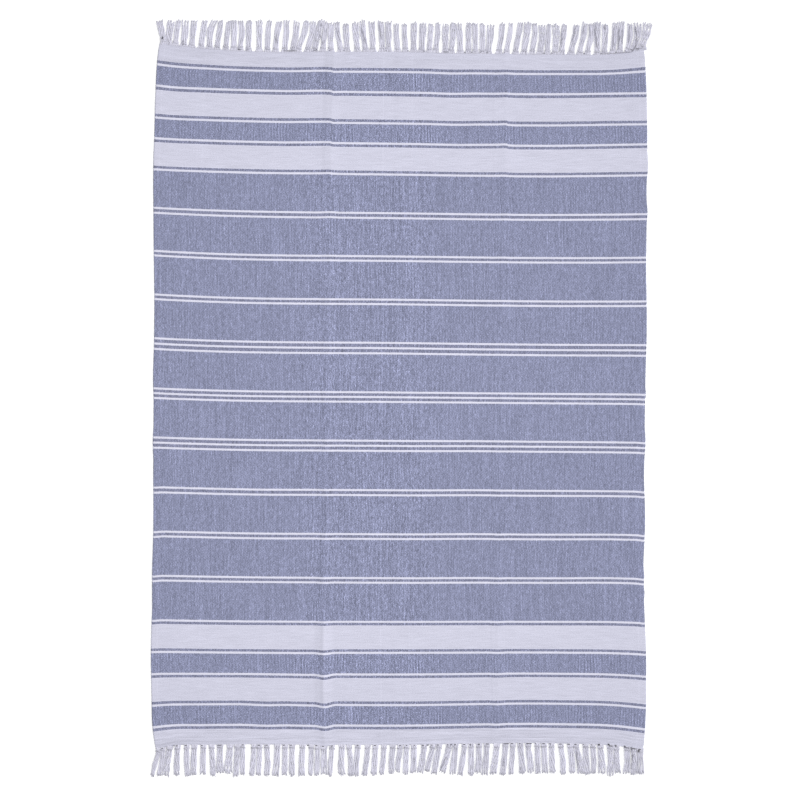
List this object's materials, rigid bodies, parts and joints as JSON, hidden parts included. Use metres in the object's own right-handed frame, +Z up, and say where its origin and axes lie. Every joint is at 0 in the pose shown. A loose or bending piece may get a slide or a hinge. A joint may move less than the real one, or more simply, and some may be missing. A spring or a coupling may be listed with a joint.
{
  "type": "cotton rug",
  "caption": "Flat-woven cotton rug, blue-grey with pale cross stripes and borders and a tied fringe at both ends, lying flat on the floor.",
  "frame": {"origin": "on the floor, under the middle of the rug and its fringes", "axes": "+X across the rug, +Y along its length, +Z up from the floor through the cloth"},
  "size_m": [1.2234, 1.848, 0.008],
  "materials": {
    "striped_cotton_cloth": "matt flat-woven cotton, blue-grey with near-white cross stripes and borders",
    "undyed_cotton_fringe": "matt loosely twisted undyed cotton yarn with blunt frayed tips"
  },
  "bodies": {
    "root": {"woven_cloth": "striped_cotton_cloth", "fringe_top": "undyed_cotton_fringe", "fringe_bottom": "undyed_cotton_fringe"}
  },
  "joints": []
}
